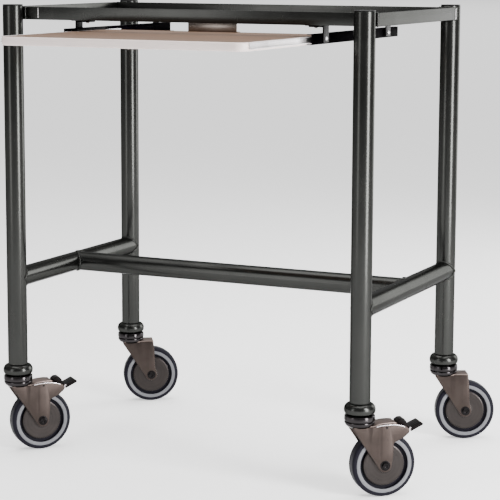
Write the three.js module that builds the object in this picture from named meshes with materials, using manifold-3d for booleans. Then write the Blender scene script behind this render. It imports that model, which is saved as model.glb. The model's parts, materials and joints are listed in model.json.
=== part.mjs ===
// A mobile computer desk frame: four round tube legs on swivel casters, an open angle-iron top
// frame, an H of round stretchers and a keyboard tray on ball-bearing slides.
// Millimetres, +Z up, -Y is the side the user sits at.
import * as THREE from "three";
import Module from "manifold-3d";
import { mergeVertices } from "three/addons/utils/BufferGeometryUtils.js";

const wasm = await Module();
wasm.setup();

// ---- Driving dimensions ----
const LEG_SPACING_X = 750; // leg axis to leg axis, across
const LEG_SPACING_Y = 475; // leg axis to leg axis, front to back
const TUBE_R = 20; // legs and stretchers
const TUBE_WALL = 2;
const LEG_TOP = 907; // cut end of the leg tube, above the floor
const FRAME_TOP = 904.5;
const STRETCHER_Z = 359;
const WELD_GAP = 0.3; // room that each weld root takes up
const FIT_GAP = 0.3; // between a turned or cut piece and its neighbour
const TUBE_FACETS = 24; // a multiple of four, so that the aprons meet a leg on an edge
const CASTER_FACETS = 16;
const HOLE_FACETS = 12;
const ARC_STEPS = 5;

const ANGLE_HEIGHT = 25.4; // upright flange of the top frame
const ANGLE_LEDGE = 25.4; // inward flange that carries a drop-in worktop
const ANGLE_WALL = 3;
const BEARER_WIDTH = 32;
const BEARER_THICK = 5;

const CAP_THICK = 2;
const CAP_PLUG_LENGTH = 14;
const COLLAR_WALL = 10; // at its fullest
const COLLAR_HEIGHT = 22;

const WHEEL_R = 62.5;
const WHEEL_FACETS = 24;
const TYRE_WIDTH = 31;
const HUB_R = 46.5; // seat of the tyre on the wheel centre
const HUB_WIDTH = 22;
const GUARD_R = 41.5; // flat disc on each side of the wheel
const GUARD_WIDTH = 26;
const BUSH_R = 11;
const BUSH_WIDTH = 31;
const AXLE_R = 6;
const AXLE_CLEARANCE = 0.4;
const SWIVEL_OFFSET = 45; // swivel axis to axle
const CROWN_CLEARANCE = 13; // top of the wheel to the underside of the swivel cup
const FORK_GAP = 36;
const FORK_SHEET = 3;
const FORK_TIP_R = 13;
const FORK_LEAN = THREE.MathUtils.degToRad(31.4); // leading edge off the vertical
const CUP_R = 29;
const CUP_DEPTH = 12;
const CUP_WALL = 3;
const CUP_FLARE = 8; // how far the cup widens from its floor to its rim
const RACE_R = 29.5;
const RACE_THICK = 11.2;
const RACE_CHAMFER = 3;
const RACE_GAP = 1; // between the turning cup and the fixed race
const KINGPIN_R = 7;
const RIVET_R = 11;
const RIVET_HEAD = 3.6;
const STEM_LENGTH = 43;
const STEM_CLEARANCE = 0.4;
const BOLT_HEAD_R = 8.5;
const BOLT_HEAD_THICK = 5;
const PEDAL_X = 42; // pivot of the brake pedal, behind the axle
const PEDAL_DROP = 7; // pivot below the fork's crown
const PEDAL_WIDTH = 38;
const PEDAL_LOBE_WIDTH = 24;
const PEDAL_PIN_R = 2.5;
const BRAKE_COVER = 2.5; // sheet over the brake

const SLIDE_LENGTH = 450;
const SLIDE_HEIGHT = 20;
const SLIDE_Z = 853; // mid-height of the slides
const SLIDE_DEPTH = 13.4; // board edge to the outside of the outer member
const SLIDE_SHEET = 1.2;
const INNER_HEIGHT = 14;
const INNER_DEPTH = 8.5;
const CAGE_LENGTH = 112;
const CAGE_SHEET = 0.6;
const SLIDE_REVEAL = 3; // web of the inner member to the lips of the outer one
const CAGE_REVEAL = 4; // web of the inner member to the lips of the cage
const CAGE_CLEARANCE = 1;
const TRAY_OUT = 243; // how far the tray stands out of its closed place
const HANGER_INSET = 15.5; // bracket to the end of its bearer
const HANGER_WIDTH = 26;
const HANGER_SHEET = 2.5;
const HANGER_FLANGE = 31;
const HANGER_FOOT = 3; // thickness of the flange under the bearer
const HANGER_SHORT = 2; // the leaf stops this much above the underside of the slide

const BOARD_WIDTH = 504;
const BOARD_DEPTH = 400;
const BOARD_THICK = 16;
const BOARD_TOP = 857.5;
const BOARD_NOSE = 17; // board in front of its slides
const EDGING = 3;
const BOARD_CORNER_R = 22;
const BOARD_BACK_R = 6;
const STOP_WIDTH = 107;
const STOP_DEPTH = 18;
const STOP_HEIGHT = 19;
const STOP_SHEET = 1.5;
const STOP_FOOT_INSET = 2; // foot of the stop to the back edge of the board
const STOP_LIP_INSET = 6;

// ---- Derived sizes ----
const HALF_X = LEG_SPACING_X / 2;
const HALF_Y = LEG_SPACING_Y / 2;
const BORE_R = TUBE_R - TUBE_WALL;
const COLLAR_R = TUBE_R + COLLAR_WALL;
const FRAME_HALF_X = HALF_X + TUBE_R;
const FRAME_HALF_Y = HALF_Y - TUBE_R - WELD_GAP;
const FRAME_BOTTOM = FRAME_TOP - ANGLE_HEIGHT;
const BEARER_TOP = FRAME_BOTTOM + ANGLE_WALL;
const BEARER_BOTTOM = BEARER_TOP - BEARER_THICK;
const BEARER_HALF_Y = FRAME_HALF_Y - ANGLE_LEDGE - WELD_GAP;
const AXLE_Z = WHEEL_R * Math.cos(Math.PI / WHEEL_FACETS); // the tyre rests on one of its flats
const FORK_HALF = FORK_GAP / 2 + FORK_SHEET;
const CUP_BASE_Z = WHEEL_R * 2 + CROWN_CLEARANCE;
const CUP_TOP_Z = CUP_BASE_Z + CUP_DEPTH;
const CROWN_Z = CUP_BASE_Z + CUP_WALL + 2;
const CASTER_HEIGHT = CUP_TOP_Z + RACE_GAP + RACE_THICK; // floor to the seat under the leg
const LEG_FOOT = CASTER_HEIGHT + FIT_GAP;
const HANGER_Y = BEARER_HALF_Y - HANGER_INSET - HANGER_WIDTH / 2;
const BOARD_SIDE = BOARD_WIDTH / 2;
const OUTER_SIDE = BOARD_SIDE + FIT_GAP + SLIDE_DEPTH;
const OUTER_FRONT = -SLIDE_LENGTH / 2;
const INNER_FRONT = OUTER_FRONT - TRAY_OUT;
const BOARD_FRONT = INNER_FRONT - BOARD_NOSE;
const BOARD_BACK = BOARD_FRONT + BOARD_DEPTH;
const CAGE_MIDDLE = (INNER_FRONT + SLIDE_LENGTH + OUTER_FRONT) / 2; // halfway along the overlap

// ---- Finishes ----
const finish = (color, roughness, metalness) =>
  new THREE.MeshStandardMaterial({ color, roughness, metalness });
const gunmetal = () => finish(0x55554f, 0.3, 0.7);
const chrome = () => finish(0xcfcac6, 0.12, 1);
const forkSteel = () => finish(0x978b84, 0.3, 0.9);
const slideZinc = () => finish(0x6d6b70, 0.35, 0.9);

// ---- Solids ----
/** Merged, outward-facing manifold of a closed three.js geometry. */
function solidOf(geometry) {
  const bare = geometry.clone();
  for (const name of Object.keys(bare.attributes)) {
    if (name !== "position") bare.deleteAttribute(name);
  }
  const merged = mergeVertices(bare, 1e-4);
  const corners = merged.attributes.position.array;
  const triVerts = Uint32Array.from(merged.index.array);
  if (signedVolume(corners, triVerts) < 0) {
    for (let i = 0; i < triVerts.length; i += 3) {
      [triVerts[i], triVerts[i + 1]] = [triVerts[i + 1], triVerts[i]];
    }
  }
  const vertProperties = Float32Array.from(corners);
  return new wasm.Manifold(new wasm.Mesh({ numProp: 3, vertProperties, triVerts }));
}

function signedVolume(corners, triangles) {
  const [a, b, c] = [new THREE.Vector3(), new THREE.Vector3(), new THREE.Vector3()];
  let volume = 0;
  for (let i = 0; i < triangles.length; i += 3) {
    a.fromArray(corners, triangles[i] * 3);
    b.fromArray(corners, triangles[i + 1] * 3);
    c.fromArray(corners, triangles[i + 2] * 3);
    volume += a.dot(b.cross(c)) / 6;
  }
  return volume;
}

function geometryOf(solid) {
  const mesh = solid.getMesh();
  const geometry = new THREE.BufferGeometry();
  geometry.setAttribute("position", new THREE.BufferAttribute(mesh.vertProperties, 3));
  geometry.setIndex(new THREE.BufferAttribute(mesh.triVerts, 1));
  geometry.computeVertexNormals();
  return geometry;
}

/** A named mesh from a solid or a closed geometry. */
function piece(name, shape, material) {
  const solid = shape instanceof THREE.BufferGeometry ? solidOf(shape) : shape;
  const mesh = new THREE.Mesh(geometryOf(solid), material);
  mesh.name = name;
  return mesh;
}

// ---- Shape helpers ----
/** Profile of [radius, height] pairs turned round the Z axis; closed unless it ends on the axis. */
function turned(profile, facets) {
  const points = profile.map(([radius, height]) => new THREE.Vector2(radius, height));
  const open = profile[0][0] === 0 && profile.at(-1)[0] === 0;
  if (!open) points.push(points[0].clone());
  return new THREE.LatheGeometry(points, facets).rotateX(Math.PI / 2);
}

/** A solid round bar from one point to another, used as stock and as a cutter. */
function bar(radius, from, to, facets = TUBE_FACETS) {
  const start = new THREE.Vector3(...from);
  const end = new THREE.Vector3(...to);
  const rod = new THREE.CylinderGeometry(radius, radius, start.distanceTo(end), facets);
  const along = end.clone().sub(start).normalize();
  rod.applyQuaternion(new THREE.Quaternion().setFromUnitVectors(new THREE.Vector3(0, 1, 0), along));
  const middle = start.lerp(end, 0.5);
  return rod.translate(middle.x, middle.y, middle.z);
}

function outline(points) {
  const shape = new THREE.Shape();
  points.forEach(([x, y], i) => (i ? shape.lineTo(x, y) : shape.moveTo(x, y)));
  return shape;
}

function raised(shape, depth) {
  return new THREE.ExtrudeGeometry(shape, { depth, bevelEnabled: false, curveSegments: ARC_STEPS });
}

/** An outline in X and Z, given its thickness along Y about yMiddle. */
function plateXZ(shape, thickness, yMiddle = 0) {
  const slab = raised(shape, thickness);
  return slab.rotateX(Math.PI / 2).translate(0, yMiddle + thickness / 2, 0);
}

/** An outline in X and Y, raised from zBottom. */
function slabXY(shape, thickness, zBottom) {
  const slab = raised(shape, thickness);
  return slab.translate(0, 0, zBottom);
}

/** An outline in Y and Z, given its length along X about the middle. */
function sectionYZ(shape, length) {
  const slab = raised(shape, length);
  slab.translate(0, 0, -length / 2);
  const axes = [new THREE.Vector3(0, 1, 0), new THREE.Vector3(0, 0, 1), new THREE.Vector3(1, 0, 0)];
  return slab.applyMatrix4(new THREE.Matrix4().makeBasis(...axes));
}

function box(low, high) {
  const size = high.map((value, i) => value - low[i]);
  const middle = high.map((value, i) => (value + low[i]) / 2);
  return new THREE.BoxGeometry(...size).translate(...middle);
}

function roundedRectangle(halfX, yFront, yBack, frontR, backR) {
  const shape = new THREE.Shape();
  shape.moveTo(-halfX + frontR, yFront);
  shape.lineTo(halfX - frontR, yFront);
  shape.absarc(halfX - frontR, yFront + frontR, frontR, -Math.PI / 2, 0);
  shape.absarc(halfX - backR, yBack - backR, backR, 0, Math.PI / 2);
  shape.absarc(-halfX + backR, yBack - backR, backR, Math.PI / 2, Math.PI);
  shape.absarc(-halfX + frontR, yFront + frontR, frontR, Math.PI, Math.PI * 1.5);
  return shape;
}

// ---- Legs and stretchers ----
const CORNERS = [
  { name: "front_left", x: -HALF_X, y: -HALF_Y, trail: 49, brake: true },
  { name: "front_right", x: HALF_X, y: -HALF_Y, trail: 40, brake: true },
  { name: "back_left", x: -HALF_X, y: HALF_Y, trail: 33, brake: false },
  { name: "back_right", x: HALF_X, y: HALF_Y, trail: 27, brake: false },
];

function legTube() {
  return turned(
    [[BORE_R, LEG_FOOT], [TUBE_R, LEG_FOOT], [TUBE_R, LEG_TOP], [BORE_R, LEG_TOP]],
    TUBE_FACETS,
  );
}

function legCap() {
  const seat = LEG_TOP + FIT_GAP;
  const top = seat + CAP_THICK;
  const plugR = BORE_R - FIT_GAP;
  const plugEnd = seat - CAP_PLUG_LENGTH;
  return turned(
    [[0, plugEnd], [plugR, plugEnd], [plugR, seat], [TUBE_R, seat], [TUBE_R, top], [0, top]],
    TUBE_FACETS,
  );
}

/** Bulged ring welded round the foot of a leg. */
function legCollar() {
  const bore = TUBE_R + FIT_GAP;
  const foot = LEG_FOOT;
  const height = COLLAR_HEIGHT;
  return turned(
    [
      [bore, foot],
      [COLLAR_R - 3, foot],
      [COLLAR_R, foot + height * 0.3],
      [COLLAR_R, foot + height * 0.6],
      [COLLAR_R - 5, foot + height],
      [bore, foot + height],
    ],
    TUBE_FACETS,
  );
}

/** Round tube between two axes, its ends coped to the round tubes that it meets. */
function copedTube(from, to, neighbours) {
  let tube = solidOf(bar(TUBE_R, from, to)).subtract(solidOf(bar(BORE_R, from, to)));
  for (const [start, end] of neighbours) {
    tube = tube.subtract(solidOf(bar(TUBE_R + WELD_GAP, start, end)));
  }
  return tube;
}

function addLegs(desk) {
  for (const { name, x, y } of CORNERS) {
    const leg = new THREE.Group();
    leg.position.set(x, y, 0);
    leg.add(piece(`${name}_leg`, legTube(), gunmetal()));
    leg.add(piece(`${name}_leg_cap`, legCap(), finish(0x2a2a2a, 0.5, 0.1)));
    leg.add(piece(`${name}_collar`, legCollar(), gunmetal()));
    desk.add(leg);
  }
}

function addStretchers(desk) {
  const reach = TUBE_R * 2;
  const uprights = (x, y) => [[x, y, STRETCHER_Z - reach], [x, y, STRETCHER_Z + reach]];
  for (const [name, x] of [["left", -HALF_X], ["right", HALF_X]]) {
    const rail = copedTube([x, -HALF_Y, STRETCHER_Z], [x, HALF_Y, STRETCHER_Z], [
      uprights(x, -HALF_Y),
      uprights(x, HALF_Y),
    ]);
    desk.add(piece(`${name}_stretcher`, rail, gunmetal()));
  }
  const rails = (x) => [[x, -reach, STRETCHER_Z], [x, reach, STRETCHER_Z]];
  const cross = copedTube([-HALF_X, 0, STRETCHER_Z], [HALF_X, 0, STRETCHER_Z], [
    rails(-HALF_X),
    rails(HALF_X),
  ]);
  desk.add(piece("cross_stretcher", cross, gunmetal()));
}

// ---- Top frame ----
/** Angle section, outer face at zero, reaching inwards along the outline's first axis. */
function angleSection() {
  return outline([
    [0, FRAME_BOTTOM],
    [ANGLE_LEDGE, FRAME_BOTTOM],
    [ANGLE_LEDGE, BEARER_TOP],
    [ANGLE_WALL, BEARER_TOP],
    [ANGLE_WALL, FRAME_TOP],
    [0, FRAME_TOP],
  ]);
}

/** One side of the frame, along X with its outer face to -Y, both ends mitred at 45 degrees. */
function mitredAngle(halfLength, outerFace) {
  const rail = sectionYZ(angleSection(), halfLength * 2);
  const corners = rail.attributes.position;
  for (let i = 0; i < corners.count; i += 1) {
    const x = corners.getX(i);
    const inward = corners.getY(i);
    corners.setX(i, x - Math.sign(x) * (inward + WELD_GAP / 2));
  }
  return rail.translate(0, -outerFace, 0);
}

function addTopFrame(desk) {
  const sides = [
    ["front", 0, FRAME_HALF_X, FRAME_HALF_Y],
    ["right", 90, FRAME_HALF_Y, FRAME_HALF_X],
    ["back", 180, FRAME_HALF_X, FRAME_HALF_Y],
    ["left", 270, FRAME_HALF_Y, FRAME_HALF_X],
  ];
  for (const [name, turn, halfLength, outerFace] of sides) {
    const rail = mitredAngle(halfLength, outerFace).rotateZ(THREE.MathUtils.degToRad(turn));
    desk.add(piece(`${name}_apron`, rail, gunmetal()));
  }
  const outerX = OUTER_SIDE + FIT_GAP + HANGER_SHEET;
  for (const [name, side] of [["left", -1], ["right", 1]]) {
    const edges = [side * (outerX - BEARER_WIDTH), side * outerX].sort((a, b) => a - b);
    const bearer = box(
      [edges[0], -BEARER_HALF_Y, BEARER_BOTTOM],
      [edges[1], BEARER_HALF_Y, BEARER_TOP],
    );
    desk.add(piece(`${name}_bearer`, bearer, gunmetal()));
  }
}

// ---- Tray slides ----
/** Channel section that opens towards the board, with its web at the far side. */
function outerSection() {
  const near = BOARD_SIDE + FIT_GAP + SLIDE_REVEAL;
  const far = OUTER_SIDE;
  const top = SLIDE_HEIGHT / 2;
  const sheet = SLIDE_SHEET;
  return outline([
    [near, -top], [far, -top], [far, top], [near, top], [near, top - sheet],
    [far - sheet, top - sheet], [far - sheet, sheet - top], [near, sheet - top],
  ]);
}

/** Channel section with its web against the board. */
function innerSection() {
  const near = BOARD_SIDE + FIT_GAP;
  const far = near + INNER_DEPTH;
  const top = INNER_HEIGHT / 2;
  const sheet = SLIDE_SHEET;
  return outline([
    [near, -top], [far, -top], [far, sheet - top], [near + sheet, sheet - top],
    [near + sheet, top - sheet], [far, top - sheet], [far, top], [near, top],
  ]);
}

/** Thin strip that carries the balls, bent round the inner member. */
function cageSection() {
  const inside = SLIDE_HEIGHT / 2 - SLIDE_SHEET;
  const top = (inside + INNER_HEIGHT / 2) / 2 + CAGE_SHEET / 2;
  const near = BOARD_SIDE + FIT_GAP + CAGE_REVEAL;
  const far = OUTER_SIDE - SLIDE_SHEET - CAGE_CLEARANCE;
  const sheet = CAGE_SHEET;
  return outline([
    [near, -top], [far, -top], [far, top], [near, top], [near, top - sheet],
    [far - sheet, top - sheet], [far - sheet, sheet - top], [near, sheet - top],
  ]);
}

/** Section on the right-hand side run along Y from front to back, mirrored for the left. */
function slideMember(section, front, length, side) {
  const member = plateXZ(section, length, front + length / 2).translate(0, 0, SLIDE_Z);
  return side > 0 ? member : member.rotateZ(Math.PI).translate(0, 2 * front + length, 0);
}

/** Bracket that carries a slide: a flange under the bearer and a leaf down the slide's side. */
function hangerSection() {
  const inside = OUTER_SIDE + FIT_GAP;
  const outside = inside + HANGER_SHEET;
  const foot = BEARER_BOTTOM - HANGER_FOOT;
  const flangeTip = outside - HANGER_FLANGE;
  const leafEnd = SLIDE_Z - SLIDE_HEIGHT / 2 + HANGER_SHORT;
  return outline([
    [inside, leafEnd], [outside, leafEnd], [outside, BEARER_BOTTOM],
    [flangeTip, BEARER_BOTTOM], [flangeTip, foot], [inside, foot],
  ]);
}

function addSlides(desk) {
  for (const [name, side] of [["left", -1], ["right", 1]]) {
    const outer = slideMember(outerSection(), OUTER_FRONT, SLIDE_LENGTH, side);
    desk.add(piece(`${name}_slide_outer`, outer, slideZinc()));
    const cage = slideMember(cageSection(), CAGE_MIDDLE - CAGE_LENGTH / 2, CAGE_LENGTH, side);
    desk.add(piece(`${name}_ball_cage`, cage, finish(0xb9b4a8, 0.4, 0.8)));
    const inner = slideMember(innerSection(), INNER_FRONT, SLIDE_LENGTH, side);
    desk.add(piece(`${name}_slide_inner`, inner, finish(0xd8d8d8, 0.35, 0.8)));
    for (const [end, y] of [["front", -HANGER_Y], ["back", HANGER_Y]]) {
      const hanger = plateXZ(hangerSection(), HANGER_WIDTH);
      if (side < 0) hanger.rotateZ(Math.PI);
      hanger.translate(0, y, 0);
      desk.add(piece(`${name}_${end}_hanger`, hanger, finish(0x2c2729, 0.4, 0.6)));
    }
  }
}

// ---- Keyboard tray ----
function addTray(desk) {
  const under = BOARD_TOP - BOARD_THICK;
  const whole = roundedRectangle(BOARD_SIDE, BOARD_FRONT, BOARD_BACK, BOARD_CORNER_R, BOARD_BACK_R);
  const core = roundedRectangle(
    BOARD_SIDE - EDGING,
    BOARD_FRONT + EDGING,
    BOARD_BACK - EDGING,
    BOARD_CORNER_R - EDGING,
    BOARD_BACK_R - EDGING,
  );
  const coreSolid = solidOf(slabXY(core, BOARD_THICK, under));
  const edging = solidOf(slabXY(whole, BOARD_THICK, under)).subtract(coreSolid);
  desk.add(piece("tray_board", coreSolid, finish(0xa58c78, 0.5, 0)));
  desk.add(piece("tray_edging", edging, finish(0xd8d0cc, 0.45, 0)));

  const front = BOARD_BACK - STOP_DEPTH;
  const sheet = STOP_SHEET;
  const top = BOARD_TOP + STOP_HEIGHT;
  const footEnd = BOARD_BACK - STOP_FOOT_INSET;
  const lipEnd = BOARD_BACK - STOP_LIP_INSET;
  const stop = outline([
    [front, BOARD_TOP], [footEnd, BOARD_TOP], [footEnd, BOARD_TOP + sheet],
    [front + sheet, BOARD_TOP + sheet], [front + sheet, top - sheet],
    [lipEnd, top - sheet], [lipEnd, top], [front, top],
  ]);
  desk.add(piece("tray_back_stop", sectionYZ(stop, STOP_WIDTH), finish(0x8f8378, 0.25, 0.9)));
}

// ---- Casters: +X is the way the wheel trails, the swivel axis is Z ----
/** Fixed half of the swivel: kingpin, upper race and the stem inside the leg. */
function swivelStem() {
  const pinEnd = CUP_BASE_Z - FIT_GAP;
  const headEnd = pinEnd - RIVET_HEAD;
  const raceFoot = CUP_TOP_Z + RACE_GAP;
  const stemR = BORE_R - STEM_CLEARANCE;
  const top = CASTER_HEIGHT + STEM_LENGTH;
  return turned(
    [
      [0, headEnd], [RIVET_R, headEnd], [RIVET_R, pinEnd], [KINGPIN_R, pinEnd], [KINGPIN_R, raceFoot],
      [RACE_R, raceFoot], [RACE_R, CASTER_HEIGHT - RACE_CHAMFER],
      [RACE_R - RACE_CHAMFER, CASTER_HEIGHT],
      [stemR, CASTER_HEIGHT], [stemR, top], [0, top],
    ],
    CASTER_FACETS,
  );
}

/** Outline of a fork leg in X and Z, the axle at x = 0. */
function forkLeg(brake) {
  const shape = new THREE.Shape();
  const arcStart = Math.PI + FORK_LEAN;
  const footX = FORK_TIP_R * Math.cos(arcStart);
  const footZ = AXLE_Z + FORK_TIP_R * Math.sin(arcStart);
  const shoulder = CUP_BASE_Z + CUP_WALL;
  shape.moveTo(footX - (shoulder - footZ) * Math.tan(FORK_LEAN), shoulder);
  shape.absarc(0, AXLE_Z, FORK_TIP_R, arcStart, Math.PI * 2);
  if (brake) {
    shape.lineTo(16, AXLE_Z + 14);
    shape.lineTo(17, CROWN_Z - 32);
    shape.lineTo(39, CROWN_Z - 21.5);
    shape.lineTo(48.5, CROWN_Z - 12.5);
    shape.lineTo(50, CROWN_Z - 6);
    shape.lineTo(41, CROWN_Z + 0.5);
    shape.quadraticCurveTo(10, CROWN_Z + 9, -22, CROWN_Z + 0.5);
  } else {
    shape.lineTo(8.5, AXLE_Z + 18);
    shape.lineTo(7, CROWN_Z - 18);
    shape.lineTo(4, CROWN_Z);
  }
  shape.lineTo(-SWIVEL_OFFSET, CROWN_Z);
  return shape;
}

/** Dished head of the fork: the lower race, turned about the swivel axis. */
function forkCup() {
  const bore = KINGPIN_R + AXLE_CLEARANCE;
  const [base, top, wall] = [CUP_BASE_Z, CUP_TOP_Z, CUP_WALL];
  const cup = [
    [bore, base], [CUP_R - CUP_FLARE, base], [CUP_R - CUP_FLARE / 4, base + CUP_DEPTH / 3], [CUP_R, top],
    [CUP_R - wall, top], [CUP_R - CUP_FLARE, base + wall], [bore, base + wall],
  ];
  return turned(cup, CASTER_FACETS).translate(-SWIVEL_OFFSET, 0, 0);
}

/** Sheet over the brake, following the arched top edge of the fork legs. */
function brakeCover() {
  const arch = solidOf(plateXZ(forkLeg(true), FORK_HALF * 2));
  const lowered = arch.translate([0, 0, -BRAKE_COVER]);
  const [low, high, end] = [CROWN_Z - BRAKE_COVER, CROWN_Z + CUP_DEPTH, PEDAL_X / 2];
  const span = box([-SWIVEL_OFFSET, -FORK_HALF, low], [end, FORK_HALF, high]);
  return arch.subtract(lowered).intersect(solidOf(span));
}

function fork(brake) {
  const across = FORK_GAP / 2 + FORK_SHEET / 2;
  let body = solidOf(forkCup());
  const crown = box([-SWIVEL_OFFSET, -FORK_HALF, CROWN_Z], [4, FORK_HALF, CROWN_Z + FORK_SHEET]);
  body = body.add(brake ? brakeCover() : solidOf(crown));
  for (const y of [-across, across]) body = body.add(solidOf(plateXZ(forkLeg(brake), FORK_SHEET, y)));
  const hollowR = CUP_R - CUP_WALL - BRAKE_COVER / 2;
  const bore = KINGPIN_R + AXLE_CLEARANCE;
  const floor = CUP_BASE_Z + CUP_WALL;
  const bowl = turned(
    [
      [0, CUP_BASE_Z - CUP_WALL], [bore, CUP_BASE_Z - CUP_WALL], [bore, floor],
      [CUP_R - CUP_FLARE, floor], [hollowR, CROWN_Z + 2], [hollowR, CUP_TOP_Z + CUP_DEPTH],
      [0, CUP_TOP_Z + CUP_DEPTH],
    ],
    CASTER_FACETS,
  );
  const through = FORK_HALF * 2;
  const ends = [[0, -through, AXLE_Z], [0, through, AXLE_Z]];
  const axleHole = bar(AXLE_R + FIT_GAP, ...ends, HOLE_FACETS);
  return body.subtract(solidOf(bowl.translate(-SWIVEL_OFFSET, 0, 0))).subtract(solidOf(axleHole));
}

/** Hexagon bolt with its nut, along Y. */
function axleBolt() {
  const seat = FORK_HALF + FIT_GAP;
  const end = seat + BOLT_HEAD_THICK;
  let bolt = solidOf(bar(AXLE_R, [0, -end, AXLE_Z], [0, end, AXLE_Z], HOLE_FACETS));
  for (const side of [-1, 1]) {
    const head = bar(BOLT_HEAD_R, [0, side * seat, AXLE_Z], [0, side * end, AXLE_Z], 6);
    bolt = bolt.add(solidOf(head));
  }
  return bolt;
}

/** Rocker pedal of the total lock about its pin: pad behind the fork, release lobe above the cover. */
function brakePedal() {
  const pad = outline([[11, -7.5], [35, 2.5], [36, 5.5], [33.5, 7.5], [9.5, -2.5]]);
  const rocker = outline([
    [-6, -5], [12, -7], [11, -2], [4, 4], [2, 10], [-3, 15.5], [-11, 15], [-17, 10], [-17, 7], [-9, 2],
  ]);
  const pinEnd = FORK_GAP / 2 - FIT_GAP;
  let pedal = solidOf(bar(PEDAL_PIN_R, [0, -pinEnd, 0], [0, pinEnd, 0], HOLE_FACETS));
  pedal = pedal.add(solidOf(plateXZ(pad, PEDAL_WIDTH)));
  pedal = pedal.add(solidOf(plateXZ(rocker, PEDAL_LOBE_WIDTH)));
  return pedal.translate([PEDAL_X, 0, CROWN_Z - PEDAL_DROP]);
}

/** Profile of [radius, place along the axle] pairs turned round the axle. */
function onAxle(profile) {
  const ring = turned(profile, WHEEL_FACETS).rotateZ(Math.PI / WHEEL_FACETS);
  return ring.rotateX(Math.PI / 2).rotateY(Math.PI / 2).translate(0, 0, AXLE_Z);
}

function mirroredProfile(half) {
  const near = half.map(([radius, across]) => [radius, -across]);
  return [...near, ...half.toReversed()];
}

function tyre() {
  const side = TYRE_WIDTH / 2;
  return onAxle(
    mirroredProfile([
      [HUB_R + FIT_GAP, HUB_WIDTH / 2],
      [HUB_R + 6, side],
      [WHEEL_R - 4, side - 1],
      [WHEEL_R, side - 8],
    ]),
  );
}

function wheelCentre() {
  return onAxle(
    mirroredProfile([
      [AXLE_R + AXLE_CLEARANCE, BUSH_WIDTH / 2],
      [BUSH_R, BUSH_WIDTH / 2],
      [GUARD_R, GUARD_WIDTH / 2],
      [HUB_R, HUB_WIDTH / 2],
    ]),
  );
}

function addCasters(desk) {
  for (const { name, x, y, trail, brake } of CORNERS) {
    const mount = new THREE.Group();
    mount.position.set(x, y, 0);
    mount.add(piece(`${name}_swivel_stem`, swivelStem(), chrome()));
    const swivel = new THREE.Group();
    swivel.rotation.z = THREE.MathUtils.degToRad(trail);
    const caster = new THREE.Group();
    caster.position.x = SWIVEL_OFFSET;
    caster.add(piece(`${name}_fork`, fork(brake), forkSteel()));
    caster.add(piece(`${name}_axle`, axleBolt(), chrome()));
    caster.add(piece(`${name}_tyre`, tyre(), finish(0x25242a, 0.6, 0)));
    caster.add(piece(`${name}_wheel_centre`, wheelCentre(), finish(0x7d736c, 0.35, 0.5)));
    if (brake) caster.add(piece(`${name}_brake_pedal`, brakePedal(), finish(0x33292a, 0.45, 0.1)));
    swivel.add(caster);
    mount.add(swivel);
    desk.add(mount);
  }
}

// ---- Assembly: the origin is on the floor, under the middle of the overall box ----
const desk = new THREE.Group();
addLegs(desk);
addStretchers(desk);
addTopFrame(desk);
addSlides(desk);
addTray(desk);
addCasters(desk);
const extent = new THREE.Box3().setFromObject(desk);
const middle = extent.getCenter(new THREE.Vector3());
desk.position.set(-middle.x, -middle.y, -extent.min.z);

export default desk;
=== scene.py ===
"""Looks of a mobile computer desk frame with a keyboard tray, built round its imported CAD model."""

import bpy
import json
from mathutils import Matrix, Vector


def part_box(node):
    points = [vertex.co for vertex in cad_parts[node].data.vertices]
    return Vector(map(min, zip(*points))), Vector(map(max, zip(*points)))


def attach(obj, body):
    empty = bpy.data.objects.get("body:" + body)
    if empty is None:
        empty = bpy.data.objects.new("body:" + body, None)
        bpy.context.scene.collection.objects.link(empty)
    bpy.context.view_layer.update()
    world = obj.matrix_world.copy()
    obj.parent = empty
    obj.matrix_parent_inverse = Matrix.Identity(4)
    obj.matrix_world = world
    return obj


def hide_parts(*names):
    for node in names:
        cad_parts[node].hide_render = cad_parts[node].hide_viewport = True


bl_info = {
    "name": "Mobile desk looks",
    "version": (1, 0, 0),
    "blender": (4, 5, 0),
    "location": "View3D > Sidebar > Desk",
    "description": "Builds the finished pieces and materials of a mobile desk frame with a keyboard tray",
    "category": "Object",
}

import json
import math

import bmesh
import bpy
from mathutils import Matrix, Vector

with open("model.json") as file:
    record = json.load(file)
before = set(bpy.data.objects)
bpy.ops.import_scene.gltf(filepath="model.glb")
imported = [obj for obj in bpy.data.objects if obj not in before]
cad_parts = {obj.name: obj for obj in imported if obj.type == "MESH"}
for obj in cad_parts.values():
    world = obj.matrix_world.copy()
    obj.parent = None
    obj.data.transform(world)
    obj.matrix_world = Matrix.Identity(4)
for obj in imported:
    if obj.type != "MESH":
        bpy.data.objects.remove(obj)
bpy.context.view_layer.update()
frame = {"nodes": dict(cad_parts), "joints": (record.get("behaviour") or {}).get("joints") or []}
JOINTS = {joint["name"]: joint for joint in frame["joints"]}
CORNERS = ("front_left", "front_right", "back_left", "back_right")
BRAKED = ("front_left", "front_right")
SIDES = ("left", "right")
MM = 0.001
UP = Vector((0, 0, 1))
LYING = Matrix(((1, 0, 0, 0), (0, 0, 1, 0), (0, 1, 0, 0), (0, 0, 0, 1)))  # swaps a slab's Y and Z


# ---- What the frame says ----
def low_high(node):
    """Lowest and highest corner of a CAD node in millimetres."""
    low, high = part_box(node)
    return low / MM, high / MM


def leg_axis(corner):
    x, y, _ = JOINTS[f"{corner}_swivel_turn"]["pos_m"]
    return Vector((x, y, 0)) / MM


def caster_place(corner):
    """Matrix of a caster: +X is the way it trails, +Y the axle, the origin on the floor under the axle."""
    roll = JOINTS[f"{corner}_wheel_roll"]
    along = Vector(roll["axis"])
    trail = along.cross(UP)
    place = Matrix((trail, along, UP)).transposed().to_4x4()
    place.translation = Vector((roll["pos_m"][0], roll["pos_m"][1], 0)) / MM
    return place


def axle_height(corner):
    return JOINTS[f"{corner}_wheel_roll"]["pos_m"][2] / MM


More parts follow.
